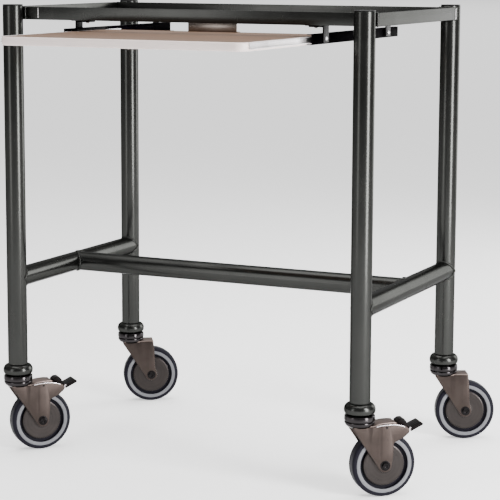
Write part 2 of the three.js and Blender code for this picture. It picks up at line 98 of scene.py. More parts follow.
LEG_LOW, LEG_HIGH = low_high("front_left_leg")
TUBE_R = max((LEG_HIGH - LEG_LOW).x, (LEG_HIGH - LEG_LOW).y) / 2
LEG_FOOT, LEG_TOP = LEG_LOW.z, LEG_HIGH.z
STRETCHER_Z = sum(corner.z for corner in low_high("cross_stretcher")) / 2
SWIVEL_OFFSET = (leg_axis("front_left") - caster_place("front_left").translation).length
DROP = 3  # how far the caster's cup and pedal sit below their CAD solids
CUP_TOP = low_high("back_left_fork")[1].z - DROP
CUP_BASE = CUP_TOP - 12
CROWN_Z = CUP_BASE + 2.6
SEAT_Z = LEG_FOOT - 2
TUBE_WALL = 2.0
FORK_HALF = 21.0  # from the wheel's middle to the outside of a cheek
FORK_SHEET = 3.0
WHEEL_HALF = 15.5
AIM_HEIGHT = 0.45  # where the lights point, in metres


# ---- Sizes and colours that a user may change ----
def length(name, description, millimetres):
    """A size that is shown with its unit, and kept in metres."""
    return bpy.props.FloatProperty(
        name=name, description=description, default=millimetres * MM, unit="LENGTH", precision=5, min=0
    )


def colour(name, description, default):
    return bpy.props.FloatVectorProperty(
        name=name, description=description, default=default, subtype="COLOR", size=3, min=0, max=1
    )


class DeskSizes(bpy.types.PropertyGroup):
    """Fine sizes that the CAD model leaves out."""

    soft_edge: length("Soft edge", "Radius on rolled and sheared edges of steel sections", 0.9)
    bead_radius: length("Weld bead", "Radius of a weld bead", 2.6)
    bead_spacing: length("Weld ripple", "Distance from one ripple of a weld to the next", 1.7)
    nose_depth: length("Nose depth", "Depth of the rounded nose round the tray board", 3.4)
    groove_depth: length("Wheel groove", "Depth of the groove between tyre and wheel disc", 9.0)
    ball_radius: length("Slide ball", "Radius of a ball in the slides", 1.3)
    screw_radius: length("Screw head", "Radius of a pan head screw", 3.6)


class DeskColours(bpy.types.PropertyGroup):
    """Base colours of the finishes, linear."""

    paint: colour("Frame paint", "Gunmetal enamel of the frame", (0.031, 0.0315, 0.0298))
    nickel: colour("Fork nickel", "Warm nickel plate of the forks", (0.044, 0.0345, 0.031))
    chrome: colour("Race chrome", "Dark bright plate of the races", (0.03, 0.0275, 0.0285))
    zinc: colour("Slide zinc", "Dark zinc of the outer slides", (0.0038, 0.0033, 0.0042))
    bright: colour("Bright zinc", "Bright zinc of the inner slides", (0.62, 0.60, 0.60))
    black: colour("Hanger black", "Satin black of the hangers", (0.0012, 0.001, 0.001))
    rubber: colour("Tyre rubber", "Black of the tyres", (0.006, 0.0055, 0.009))
    ring: colour("Tyre ring", "Grey shoulder of the tyres", (0.095, 0.096, 0.105))
    disc: colour("Wheel disc", "Metallic grey-brown of the wheel centres", (0.021, 0.017, 0.0158))
    pedal: colour("Pedal", "Brown-black of the brake pedals", (0.0035, 0.0024, 0.0024))
    board: colour("Board", "Light brown laminate of the tray", (0.128, 0.083, 0.059))
    band: colour("Edge band", "Pale band round the tray", (0.62, 0.53, 0.50))
    stop: colour("Back stop", "Taupe sheet of the tray stop", (0.205, 0.175, 0.155))
    floor: colour("Floor", "Pale studio floor", (0.86, 0.86, 0.86))


# ---- Node trees ----
class Value:
    """A socket in a node tree. Its operators add Math nodes."""

    def __init__(self, tree, socket):
        self.tree = tree
        self.socket = socket

    def maths(self, operation, *values):
        return self.tree.node("ShaderNodeMath", {"operation": operation}, *values)

    def __add__(self, other):
        return self.maths("ADD", self, other)

    def __sub__(self, other):
        return self.maths("SUBTRACT", self, other)

    def __rsub__(self, other):
        return self.maths("SUBTRACT", other, self)

    def __mul__(self, other):
        return self.maths("MULTIPLY", self, other)

    __radd__ = __add__
    __rmul__ = __mul__


class Tree:
    """A node tree being written; node() makes every node in it."""

    def __init__(self, tree):
        self.tree = tree

    def node(self, kind, settings=None, *values, output=None, **named):
        """Adds a node: settings first, then values or links by position or by socket name."""
        made = self.tree.nodes.new(kind)
        for key, value in (settings or {}).items():
            if key == "stops":
                self.set_stops(made.color_ramp, value)
            else:
                setattr(made, key, value)
        for socket, value in zip(made.inputs, values):
            self.feed(socket, value)
        for key, value in named.items():
            self.feed(self.find(made.inputs, key), value)
        if not made.outputs:
            return made
        return Value(self, self.find(made.outputs, output) if output else made.outputs[0])

    def find(self, sockets, key):
        """A socket by its identifier, or else by its name, with _ read as a space."""
        for socket in sockets:
            if socket.identifier == key:
                return socket
        return sockets[key.replace("_", " ")]

    def feed(self, socket, value):
        if isinstance(value, Value):
            self.tree.links.new(value.socket, socket)
        elif socket.type == "RGBA":
            socket.default_value = (*value, 1)
        else:
            socket.default_value = value

    def set_stops(self, ramp, stops):
        while len(ramp.elements) < len(stops):
            ramp.elements.new(1)
        for element, (position, shade) in zip(ramp.elements, stops):
            element.position = position
            element.color = (shade, shade, shade, 1)


class Finish(Tree):
    """A material: its methods are the patterns that the finishes share."""

    def __init__(self, name):
        self.material = bpy.data.materials.new(name)
        self.material.use_nodes = True
        super().__init__(self.material.node_tree)
        self.tree.nodes.clear()
        self.place = self.node("ShaderNodeTexCoord", output="Object")
        self.along = self.node("ShaderNodeTexCoord", output="UV")

    def stretched(self, scale, source=None):
        return self.node("ShaderNodeMapping", {}, Vector=source or self.place, Scale=scale)

    def noise(self, vector, scale, detail=3.0, roughness=0.55):
        return self.node(
            "ShaderNodeTexNoise", {}, Vector=vector, Scale=scale, Detail=detail, Roughness=roughness
        )

    def spread(self, value, low, high):
        """Stretches the middle of a noise to the range 0 to 1."""
        return self.node("ShaderNodeValToRGB", {"stops": [(low, 0), (high, 1)]}, value)

    def tint(self, factor, first, second):
        mixed = {"Factor_Float": factor, "A_Color": first, "B_Color": second}
        return self.node("ShaderNodeMix", {"data_type": "RGBA"}, output="Result_Color", **mixed)

    def bump(self, height, depth, below=None):
        """Depth in millimetres."""
        named = {"Normal": below} if below else {}
        return self.node("ShaderNodeBump", {}, Height=height, Distance=depth * MM, Strength=1.0, **named)

    def surface(self, **inputs):
        shader = self.node("ShaderNodeBsdfPrincipled", {}, **inputs)
        self.node("ShaderNodeOutputMaterial", {}, Surface=shader)
        return self.material


def shade(rgb, factor):
    return tuple(channel * factor for channel in rgb)


def enamel(name, rgb, metallic, rough):
    """Sprayed metallic enamel: faint orange peel, smudges and dust."""
    f = Finish(name)
    cloud = f.spread(f.noise(f.place, 7.0), 0.35, 0.7)
    peel = f.noise(f.place, 420.0, 2.0)
    fleck = f.noise(f.place, 2600.0, 1.0)
    smudge = f.spread(f.noise(f.stretched((1, 1, 0.25)), 22.0, 5.0), 0.45, 0.8)
    base = f.tint(cloud * 0.5 + fleck * 0.35, shade(rgb, 0.82), shade(rgb, 1.18))
    return f.surface(
        Base_Color=base,
        Metallic=metallic,
        Roughness=cloud * 0.03 + smudge * 0.07 + rough,
        Specular_Tint=(0.4, 0.4, 0.4),
        Normal=f.bump(peel, 0.03),
    )


def plate(name, rgb, rough, grain, grain_depth=0.01, metallic=1.0, edge=0.6):
    """Plated steel: drawing marks along the stretched direction, soft stains."""
    f = Finish(name)
    stain = f.spread(f.noise(f.place, 38.0, 4.0), 0.38, 0.68)
    marks = f.noise(f.stretched(grain), 60.0, 4.0, 0.7)
    base = f.tint(stain * 0.6 + marks * 0.4, shade(rgb, 0.78), shade(rgb, 1.12))
    return f.surface(
        Base_Color=base,
        Metallic=metallic,
        Roughness=marks * 0.12 + stain * 0.06 + rough,
        Specular_Tint=(edge, edge, edge),
        Normal=f.bump(marks, grain_depth),
    )


def moulding(name, rgb, rough, texture_scale=900.0, depth=0.03, gloss=0.12):
    """Moulded rubber or plastic: fine grain, scuffs that lighten and dull it."""
    f = Finish(name)
    grain = f.noise(f.place, texture_scale, 2.0)
    scuff = f.spread(f.noise(f.stretched((1, 1, 2)), 45.0, 6.0, 0.65), 0.52, 0.78)
    dust = f.spread(f.noise(f.place, 11.0, 3.0), 0.4, 0.75)
    base = f.tint(scuff * 0.35 + dust * 0.25, rgb, tuple(channel * 1.6 + 0.0012 for channel in rgb))
    return f.surface(
        Base_Color=base,
        Roughness=scuff * 0.14 + grain * 0.06 + rough,
        Specular_IOR_Level=gloss,
        Normal=f.bump(grain, depth),
    )


def turned_disc(name, rgb):
    """Metallic moulding with fine rings: V of its UV map runs out along the turned profile."""
    f = Finish(name)
    parts = f.node("ShaderNodeSeparateXYZ", {}, f.along, output="Y")
    rings = f.node("ShaderNodeMath", {"operation": "SINE"}, parts * 900.0) * 0.5 + 0.5
    cloud = f.spread(f.noise(f.place, 30.0, 3.0), 0.35, 0.7)
    base = f.tint(cloud * 0.6 + rings * 0.25, shade(rgb, 0.8), shade(rgb, 1.2))
    return f.surface(
        Base_Color=base,
        Metallic=0.75,
        Roughness=cloud * 0.08 + rings * 0.04 + 0.27,
        Normal=f.bump(rings, 0.012),
    )


def laminate(name, rgb):
    """Printed wood laminate: long grain across the board, fine pores, satin top."""
    f = Finish(name)
    figure = f.noise(f.stretched((0.7, 9, 3)), 4.5, 6.0, 0.6)
    pores = f.spread(f.noise(f.stretched((6, 170, 60)), 6.0, 3.0, 0.7), 0.52, 0.72)
    rings = f.node(
        "ShaderNodeTexWave", {"bands_direction": "Y"}, Vector=f.stretched((0.5, 1, 1)), Scale=16.0,
        Distortion=7.0, Detail=3.0, Detail_Scale=0.8,
    )
    base = f.tint(f.spread(figure * 0.65 + rings * 0.35, 0.3, 0.72), shade(rgb, 0.83), shade(rgb, 1.13))
    return f.surface(
        Base_Color=f.tint(pores * 0.32, base, shade(rgb, 0.55)),
        Roughness=pores * 0.1 + figure * 0.08 + 0.34,
        Specular_IOR_Level=0.012,
        Normal=f.bump(pores, -0.03),
    )


def edge_band(name, rgb):
    """Plastic edge band: faint lengthwise drawing marks and handling dirt."""
    f = Finish(name)
    drawn = f.noise(f.stretched((3, 3, 260)), 5.0, 3.0, 0.6)
    dirt = f.spread(f.noise(f.stretched((1, 1, 3)), 17.0, 5.0), 0.48, 0.8)
    base = f.tint(dirt * 0.3, f.tint(drawn, shade(rgb, 0.95), shade(rgb, 1.04)), shade(rgb, 0.72))
    return f.surface(
        Base_Color=base, Roughness=dirt * 0.12 + drawn * 0.08 + 0.36, Normal=f.bump(drawn, 0.03)
    )


def seamless_paper(name, rgb):
    f = Finish(name)
    fibre = f.noise(f.place, 160.0, 3.0)
    base = f.tint(fibre, shade(rgb, 0.985), rgb)
    return f.surface(
        Base_Color=base, Roughness=fibre * 0.05 + 0.85, Emission_Color=base, Emission_Strength=0.75
    )


def make_finishes(colours):
    """Every finish, by the record's slot name, and the few that have none."""
    return {
        "frame_paint": enamel("gunmetal_enamel", colours.paint, 0.92, 0.225),
        "cap_plastic": moulding("cap_plastic", colours.black, 0.42),
        "race_chrome": plate("race_chrome", colours.chrome, 0.06, (3, 3, 40), 0.003),
        "fork_nickel": plate("fork_nickel", colours.nickel, 0.26, (40, 40, 2.5), 0.012),
        # Painted light: the crown takes the fork nickel 4.5 times lighter, so the fork's top reads lit.
        "crown_nickel": plate("crown_nickel", shade(colours.nickel, 4.5), 0.3, (40, 40, 2.5), 0.012),
        # Bright nickel of the pedal plates; on the housing rims the same colour paints a highlight.
        "polished_nickel": plate("polished_nickel", (0.62, 0.57, 0.58), 0.16, (40, 40, 2.5), 0.004),
        "slide_zinc": plate("slide_zinc", colours.zinc, 0.3, (60, 2, 60), 0.01, edge=0.42),
        # Bright zinc of the inner slides and screws; on the two glint beads the same colour paints
        # highlights.
        "slide_bright": plate("slide_bright", colours.bright, 0.36, (60, 2, 60), 0.004, 0.6),
        "cage_steel": plate("cage_steel", shade(colours.bright, 0.06), 0.32, (30, 3, 30)),
        "hanger_black": moulding("hanger_black", colours.black, 0.34, 500.0, 0.02, 0.025),
        "axle_black": plate("axle_black", shade(colours.chrome, 0.4), 0.12, (20, 20, 20), 0.01),
        "tyre_rubber": moulding("tyre_rubber", colours.rubber, 0.42, 700.0, 0.06, 0.06),
        "tyre_ring": moulding("tyre_ring", colours.ring, 0.46, 500.0, 0.04, 0.4),
        "wheel_plastic": turned_disc("wheel_disc", colours.disc),
        "pedal_plastic": moulding("pedal_plastic", colours.pedal, 0.34, 650.0, 0.05, 0.04),
        "board_laminate": laminate("board_laminate", colours.board),
        "edge_band": edge_band("edge_band", colours.band),
        "stop_steel": plate("stop_steel", colours.stop, 0.16, (2, 60, 60), 0.008),
    }


FINISHES = {}


# ---- Mesh making, in millimetres ----
def placed(name, data):
    """A new object in the scene."""
    obj = bpy.data.objects.new(name, data)
    bpy.context.scene.collection.objects.link(obj)
    return obj


def as_mesh(name, shape):
    """Turns a bmesh in millimetres into a closed mesh in metres whose faces point outwards."""
    bmesh.ops.remove_doubles(shape, verts=shape.verts, dist=0.001)
    bmesh.ops.recalc_face_normals(shape, faces=shape.faces)
    bmesh.ops.transform(shape, matrix=Matrix.Scale(MM, 4), verts=shape.verts)
    mesh = bpy.data.meshes.new(name)
    shape.to_mesh(mesh)
    shape.free()
    return mesh


def piece(name, shape, finish, body, replaces=(), sharp=32):
    return finished(name, as_mesh(name, shape), finish, body, replaces, sharp)


def finished(name, mesh, finish, body, replaces=(), sharp=32):
    """A mesh becomes a piece: its finish, its body and the nodes that it stands for."""
    obj = placed(name, mesh)
    mesh.materials.clear()
    mesh.materials.append(FINISHES[finish])
    mesh.shade_smooth()
    mesh.set_sharp_from_angle(angle=math.radians(sharp))
    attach(obj, body)
    if replaces:
        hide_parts(*replaces)
    return obj


def rounded(points, radius, steps=5):
    """Closed outline with each corner turned into an arc; a point may carry a radius of its own."""
    result = []
    count = len(points)
    for i, point in enumerate(points):
        corner = Vector(point[:2])
        wanted = point[2] if len(point) > 2 else radius
        before = Vector(points[i - 1][:2]) - corner
        after = Vector(points[(i + 1) % count][:2]) - corner
        half = before.angle(after) / 2
        if wanted <= 0 or half > math.radians(89):
            result.append(corner)
            continue
        reach = min(wanted / math.tan(half), before.length * 0.48, after.length * 0.48)
        start = corner + before.normalized() * reach
        end = corner + after.normalized() * reach
        centre = corner + (before.normalized() + after.normalized()).normalized() * (reach / math.cos(half))
        first, last = start - centre, end - centre
        for k in range(steps + 1):
            turn = first.lerp(last, k / steps).normalized() * first.length
            result.append(centre + turn)
    return result


def arc(cx, cy, radius, start, end, steps=16):
    """Points of an arc, its angles in degrees."""
    turns = [math.radians(start + (end - start) * k / steps) for k in range(steps + 1)]
    return [(cx + radius * math.cos(t), cy + radius * math.sin(t), 0) for t in turns]


def turned(profile, segments=72, shape=None, place=None):
    """Closed profile of (radius, height) turned round Z, with a UV map: round, and along the profile."""
    shape = shape or bmesh.new()
    place = place or Matrix.Identity(4)
    uv = shape.loops.layers.uv.verify()
    points = [Vector(point[:2]) for point in profile]
    travelled = [0.0]
    for i in range(len(points)):
        travelled.append(travelled[-1] + (points[(i + 1) % len(points)] - points[i]).length)
    rings = []
    for point in points:
        if point.x < 1e-6:
            rings.append([shape.verts.new(place @ Vector((0, 0, point.y)))] * segments)
            continue
        turns = [2 * math.pi * k / segments for k in range(segments)]
        ring = [Vector((point.x * math.cos(t), point.x * math.sin(t), point.y)) for t in turns]
        rings.append([shape.verts.new(place @ corner) for corner in ring])
    for i, ring in enumerate(rings):
        following = rings[(i + 1) % len(rings)]
        if ring[0] is ring[1] and following[0] is following[1]:
            continue
        for k in range(segments):
            j = (k + 1) % segments
            corners = [ring[k], ring[j], following[j], following[k]]
            spots = [(k, i), (k + 1, i), (k + 1, i + 1), (k, i + 1)]
            unique = [n for n in range(4) if corners[n] not in corners[:n]]
            face = shape.faces.new([corners[n] for n in unique])
            for loop, n in zip(face.loops, unique):
                loop[uv].uv = (spots[n][0] / segments, travelled[spots[n][1]] * MM)
    return shape


def slab(outline, low, high, shape=None, place=None, soft=0.0, stations=()):
    """An outline in X and Z given a thickness along Y from low to high, its rims rounded."""
    own = bmesh.new()
    front = [own.verts.new((point[0], low, point[1])) for point in outline]
    back = [own.verts.new((point[0], high, point[1])) for point in outline]
    own.faces.new(front)
    own.faces.new(list(reversed(back)))
    for i in range(len(outline)):
        j = (i + 1) % len(outline)
        own.faces.new([front[j], front[i], back[i], back[j]])
    if soft:
        own.normal_update()
        rims = [edge for edge in own.edges if abs(edge.verts[0].co.y - edge.verts[1].co.y) < 1e-6]
        bmesh.ops.bevel(own, geom=rims, offset=soft, segments=3, profile=0.5, affect="EDGES")
    for x in stations:
        everything = own.verts[:] + own.edges[:] + own.faces[:]
        bmesh.ops.bisect_plane(own, geom=everything, plane_co=(x, 0, 0), plane_no=(1, 0, 0))
    return merged(own, shape, place)


def merged(own, shape, place):
    """Puts one bmesh, placed, into another."""
    if place:
        bmesh.ops.transform(own, matrix=place, verts=own.verts)
    if shape is None:
        return own
    passing = bpy.data.meshes.new("passing")
    own.to_mesh(passing)
    own.free()
    shape.from_mesh(passing)
    bpy.data.meshes.remove(passing)
    return shape


def softened(name, node, finish, body, soft, segments=3, ceiling=None):
    """A CAD node's own shape with its sharp edges rounded, kept below the ceiling if there is one."""
    shape = bmesh.new()
    shape.from_mesh(frame["nodes"][node].data)
    bmesh.ops.transform(shape, matrix=Matrix.Scale(1 / MM, 4), verts=shape.verts)
    bmesh.ops.remove_doubles(shape, verts=shape.verts, dist=0.01)
    flat = math.radians(1)
    bmesh.ops.dissolve_limit(shape, angle_limit=flat, verts=shape.verts, edges=shape.edges)
    bmesh.ops.recalc_face_normals(shape, faces=shape.faces)
    if ceiling:
        for vert in shape.verts:
            vert.co.z = min(vert.co.z, ceiling + (vert.co.z - ceiling) * 0.05)
    hard = [edge for edge in shape.edges if edge.is_manifold and edge.calc_face_angle(0) > math.radians(30)]
    bmesh.ops.bevel(
        shape, geom=hard, offset=soft, segments=segments, profile=0.5, affect="EDGES", clamp_overlap=True
    )
    return piece(name, shape, finish, body, replaces=[node], sharp=50)


def closed_skin(rings):
    """Joins each ring of points to the next, and the last to the first."""
    shape = bmesh.new()
    rows = [[shape.verts.new(point) for point in ring] for ring in rings]
    for i, row in enumerate(rows):
        following = rows[(i + 1) % len(rows)]
        for k in range(len(row)):
            j = (k + 1) % len(row)
            shape.faces.new([row[k], row[j], following[j], following[k]])
    return shape


# ---- Geometry Nodes: what repeats ----
def geometry_tree(name, inputs):
    """An empty geometry tree with named inputs and a material, and its sockets as values."""
    made = bpy.data.node_groups.new(name, "GeometryNodeTree")
    made.interface.new_socket("Geometry", in_out="INPUT", socket_type="NodeSocketGeometry")
    for key, kind in {**inputs, "Material": "Material"}.items():
        made.interface.new_socket(key, in_out="INPUT", socket_type=f"NodeSocket{kind}")
    made.interface.new_socket("Geometry", in_out="OUTPUT", socket_type="NodeSocketGeometry")
    tree = Tree(made)
    entry = made.nodes.new("NodeGroupInput")
    values = {socket.name: Value(tree, socket) for socket in entry.outputs if socket.name}
    return tree, values


def close_tree(tree, given, geometry):
    """Makes the instances real, smooth and dressed in the tree's material."""
    realized = tree.node("GeometryNodeRealizeInstances", {}, geometry)
    smooth = tree.node("GeometryNodeSetShadeSmooth", {}, realized)
    dressed = tree.node("GeometryNodeSetMaterial", {}, Geometry=smooth, Material=given["Material"])
    tree.node("NodeGroupOutput", {}, dressed)
    return tree.tree


def bead_tree():
    """Ripples of weld metal along every edge path: balls, each a little larger or smaller."""
    tree, given = geometry_tree("weld_bead", {"Bead Radius": "Float", "Spacing": "Float", "Seed": "Int"})
    path = tree.node("GeometryNodeMeshToCurve", {}, given["Geometry"])
    steps = tree.node("GeometryNodeResampleCurve", {"mode": "LENGTH"}, Curve=path, Length=given["Spacing"])
    ball = tree.node("GeometryNodeMeshIcoSphere", {}, Radius=given["Bead Radius"], Subdivisions=2)
    size = tree.node(
        "FunctionNodeRandomValue", {"data_type": "FLOAT"}, Min_001=0.88, Max_001=1.1, Seed=given["Seed"],
        output="Value_001",
    )
    spread = tree.node("GeometryNodeInstanceOnPoints", {}, Points=steps, Instance=ball, Scale=size)
    return close_tree(tree, given, spread)


def stud_tree():
    """A head at each vertex, turned to face along the vertex's own facing attribute."""
    tree, given = geometry_tree("studs", {"Head": "Object"})
    head = tree.node("GeometryNodeObjectInfo", {}, Object=given["Head"], output="Geometry")
    facing = tree.node(
        "GeometryNodeInputNamedAttribute", {"data_type": "FLOAT_VECTOR"}, Name="facing", output="Attribute"
    )
    turned_to = tree.node("FunctionNodeAlignRotationToVector", {"axis": "Z"}, Vector=facing)
    spread = tree.node(
        "GeometryNodeInstanceOnPoints", {}, Points=given["Geometry"], Instance=head, Rotation=turned_to
    )
    return close_tree(tree, given, spread)


def ball_tree():
    """A bearing ball at each vertex."""
    tree, given = geometry_tree("slide_balls", {"Ball Radius": "Float"})
    ball = tree.node("GeometryNodeMeshUVSphere", {}, Segments=16, Rings=8, Radius=given["Ball Radius"])
    spread = tree.node("GeometryNodeInstanceOnPoints", {}, Points=given["Geometry"], Instance=ball)
    return close_tree(tree, given, spread)


def grown(name, paths, tree, values, finish, body, facing=None):
    """Runs a geometry tree on points and paths in millimetres, and keeps its result as a plain mesh."""
    values = {**values, "Material": FINISHES[finish]}
    seed = bpy.data.meshes.new(f"{name}_seed")
    corners, edges = [], []
    for path in paths:
        first = len(corners)
        corners += [Vector(point) * MM for point in path]
        edges += [(i, i + 1) for i in range(first, len(corners) - 1)]
    seed.from_pydata(corners, [] if facing else edges, [])
    if facing:
        layer = seed.attributes.new("facing", "FLOAT_VECTOR", "POINT")
        layer.data.foreach_set("vector", [value for way in facing for value in way])
    carrier = placed(f"{name}_seed", seed)
    modifier = carrier.modifiers.new("grow", "NODES")
    modifier.node_group = tree
    for item in tree.interface.items_tree:
        if item.in_out == "INPUT" and item.name in values:
            modifier[item.identifier] = values[item.name]
    graph = bpy.context.evaluated_depsgraph_get()
    mesh = bpy.data.meshes.new_from_object(carrier.evaluated_get(graph))
    carrier.modifiers.remove(modifier)
    bpy.data.objects.remove(carrier)
    bpy.data.meshes.remove(seed)
    if not mesh.polygons:
        raise RuntimeError(f"{name} came out empty")
    mesh.name = name
    return finished(name, mesh, finish, body)


# ---- Legs, collars and stretchers ----
def on_leg(corner, name, node, profile, finish, segments=96):
    """A piece turned on a leg's axis, which stands for a CAD node."""
    shape = turned(profile, segments, place=Matrix.Translation(leg_axis(corner)))
    piece(f"{corner}_{name}", shape, finish, "root", replaces=[f"{corner}_{node}"])


def build_legs():
    bore = TUBE_R - TUBE_WALL
    tube = rounded([(bore, SEAT_Z), (TUBE_R, SEAT_Z), (TUBE_R, LEG_TOP), (bore, LEG_TOP)], 0.5, 3)
    for corner in CORNERS:
        on_leg(corner, "leg_tube", "leg", tube, "frame_paint")
        _, top = low_high(f"{corner}_leg_cap")
        seat = top.z - 2
        cap = rounded([
            (0, seat - 8, 0), (bore - 0.4, seat - 8), (bore - 0.4, seat, 0), (TUBE_R - 0.1, seat, 0.3),
            (TUBE_R - 0.1, top.z, 1.2), (TUBE_R * 0.6, top.z, 0), (0, top.z, 0),
        ], 0.4, 4)
        on_leg(corner, "end_cap", "leg_cap", cap, "cap_plastic")


def build_collars():
    """Rolled bead round each foot: steep shoulder, full belly, drawn in underneath."""
    for corner in CORNERS:
        low, high = low_high(f"{corner}_collar")
        belly = (high.x - low.x) / 2
        height = high.z - low.z - 1
        bore = TUBE_R - 0.4
        skirt = [
            (belly - 4.8, 0), (belly - 1.3, 0.13), (belly, 0.4), (belly - 1.1, 0.68), (belly - 4.6, 0.9),
            (TUBE_R + 1, 0.99), (bore, 1.02),
        ]
        outside = curve_through([(r, SEAT_Z + height * share) for r, share in skirt], 5)
        on_leg(corner, "foot_collar", "collar", [(bore, SEAT_Z), *outside], "frame_paint")


def end_ring(start, end, upright, radius=TUBE_R, gap=0.0, steps=72):
    """Where a level tube meets another at its start, upright or level: a saddle, cut a gap short of it."""
    along = (end - start).normalized()
    across = along.cross(UP)
    ring = []
    for k in range(steps):
        turn = 2 * math.pi * k / steps
        side, rise = radius * math.cos(turn), radius * math.sin(turn)
        short = math.sqrt(max(TUBE_R**2 - (side if upright else rise) ** 2, 0)) + gap
        ring.append(start + along * short + across * side + UP * rise)
    return ring


def stretcher_ends():
    """Name, start and end of each stretcher, and whether the tubes that it meets are upright."""
    at = {corner: leg_axis(corner) + UP * STRETCHER_Z for corner in CORNERS}
    left = at["front_left"], at["back_left"]
    right = at["front_right"], at["back_right"]
    cross = (left[0] + left[1]) / 2, (right[0] + right[1]) / 2
    return [
        ("left_stretcher", *left, True),
        ("right_stretcher", *right, True),
        ("cross_stretcher", *cross, False),
    ]


def build_stretchers():
    for name, start, end, upright in stretcher_ends():
        skins = []
        for radius in (TUBE_R, TUBE_R - TUBE_WALL):
            near = end_ring(start, end, upright, radius)
            far = end_ring(end, start, upright, radius)
            matched = [far[len(far) // 2 - k] for k in range(len(far))]
            skins.append([near, matched])
        outside, bore = skins
        shape = closed_skin([*outside, *reversed(bore)])
        piece(f"{name}_tube", shape, "frame_paint", "root", replaces=[name])


def build_welds(sizes):
    """Weld beads: round the stretcher ends, at the corners of the top frame, and two painted glints in
    bright zinc.
    """
    tree = bead_tree()

    def weld(name, paths, width, seed, finish="frame_paint"):
        values = {"Spacing": sizes.bead_spacing, "Bead Radius": sizes.bead_radius * width, "Seed": seed}
        grown(name, paths, tree, values, finish, "root")

    joints = []
    for _, start, end, upright in stretcher_ends():
        for joint, other in ((start, end), (end, start)):
            ring = end_ring(joint, other, upright, gap=0.2, steps=60)
            joints.append(ring + ring[:1])
    weld("stretcher_welds", joints, 1, 3)
    low, high = low_high("left_apron")
    front, back = low_high("front_apron")[0].y, low_high("back_apron")[1].y
    corners, fillets = [], []
    for corner in CORNERS:
        axis = leg_axis(corner)
        outward = -1 if "left" in corner else 1
        inward = 1 if "front" in corner else -1
        face = front if "front" in corner else back
        inner, root = axis.x - outward * (TUBE_R - 3), face - inward * 1.5
        corners.append([(inner, root, low.z + 2), (inner, root, high.z - 1)])
        outer, root = axis.x + outward * (TUBE_R - 1.6), face - inward * 3.4
        fillets.append([(outer, root, low.z + 2), (outer, root, high.z - 2)])
        top = face + inward * 0.5
        corners.append([(axis.x - 5, top, high.z), (axis.x + 5, top, high.z)])
    weld("corner_welds", corners, 0.9, 5)
    weld("corner_fillets", fillets, 1.25, 5)
    # Painted highlights: two thin beads in bright zinc stand for white glints on the front apron and at the
    # right apron's back end.
    glint_x = leg_axis("front_left").x + TUBE_R + 26
    side = low_high("right_apron")[1].x + 0.2
    glint_paths = [
        [(glint_x, front, low.z + 5), (glint_x, front, high.z - 3.5)],
        [(side, back - 6, low.z + 2), (side, back - 6, high.z - 3)],
    ]
    weld("bare_seam_weld", glint_paths, 0.42, 7, "slide_bright")


# ---- Top frame ----
def build_top_frame(sizes):
    for name in ("front_apron", "right_apron", "back_apron", "left_apron"):
        softened(f"{name}_angle", name, "frame_paint", "root", sizes.soft_edge / MM)
    for side in SIDES:
        softened(f"{side}_bearer_bar", f"{side}_bearer", "frame_paint", "root", sizes.soft_edge / MM)


# ---- Slides and hangers ----
def build_slides(sizes):
    _, board_top = low_high("tray_board")
    for side in SIDES:
        softened(f"{side}_outer_member", f"{side}_slide_outer", "slide_zinc", "root", 0.45, 2)
        softened(f"{side}_inner_member", f"{side}_slide_inner", "slide_bright", "tray", 0.4, 2,
                 board_top.z - 0.4)
        softened(f"{side}_cage_strip", f"{side}_ball_cage", "cage_steel", "ball_cages", 0.2, 1)
        for end in ("front", "back"):
            softened(f"{side}_{end}_bracket", f"{side}_{end}_hanger", "hanger_black", "root", 0.6)
    balls = []
    end_gap, pitch, proud = 6, 12.5, 0.3
    for side in SIDES:
        low, high = low_high(f"{side}_ball_cage")
        middle = (low.x + high.x) / 2
        for z in (low.z - proud, high.z + proud):
            balls.append([(middle, low.y + end_gap + pitch * k, z) for k in range(9)])
    values = {"Ball Radius": sizes.ball_radius}
    grown("slide_bearing_balls", balls, ball_tree(), values, "race_chrome", "ball_cages")


def screw_head(radius):
    """Pan head, the pattern for the screws."""
    height = radius * 0.62
    rim, flat = (radius, height * 0.35, 0.8), (radius * 0.62, height, 1.5)
    dome = [(0, 0, 0), (radius, 0, 0), rim, flat, (0, height, 0)]
    return placed("screw_pattern", as_mesh("screw_pattern", turned(rounded(dome, 0.3, 4), 20)))


def build_screws(sizes):
    """Screws that hold the slides to their hangers, and the hangers to the bearers."""
    pattern = screw_head(sizes.screw_radius / MM)
    spots, facing = [], []
    for side in SIDES:
        outward = -1 if side == "left" else 1
        for end in ("front", "back"):
            low, high = low_high(f"{side}_{end}_hanger")
            outer = low.x if outward < 0 else high.x
            middle = (low.y + high.y) / 2
            spots += [(outer, middle, low.z + 8), (outer - outward * 21, middle, high.z - 3)]
            facing += [(outward, 0, 0), (0, 0, -1)]
    grown("hanger_screws", [spots], stud_tree(), {"Head": pattern}, "slide_bright", "root", facing=facing)
    bpy.data.objects.remove(pattern)


# ---- Keyboard tray ----
def board_outline(front_radius=22.0, back_radius=6.0):
    """The board's outline, counter-clockwise, each point with its outward direction."""
    low, high = low_high("tray_edging")
    corners = [
        (high.x, low.y, front_radius, -90), (high.x, high.y, back_radius, 0),
        (low.x, high.y, back_radius, 90), (low.x, low.y, front_radius, 180),
    ]
    outline = []
    for x, y, radius, start in corners:
        cx = x - math.copysign(radius, x - (low.x + high.x) / 2)
        cy = y - math.copysign(radius, y - (low.y + high.y) / 2)
        for k in range(13):
            turn = math.radians(start + 90 * k / 12)
            way = Vector((math.cos(turn), math.sin(turn), 0))
            outline.append((Vector((cx, cy, 0)) + way * radius, way))
    return outline


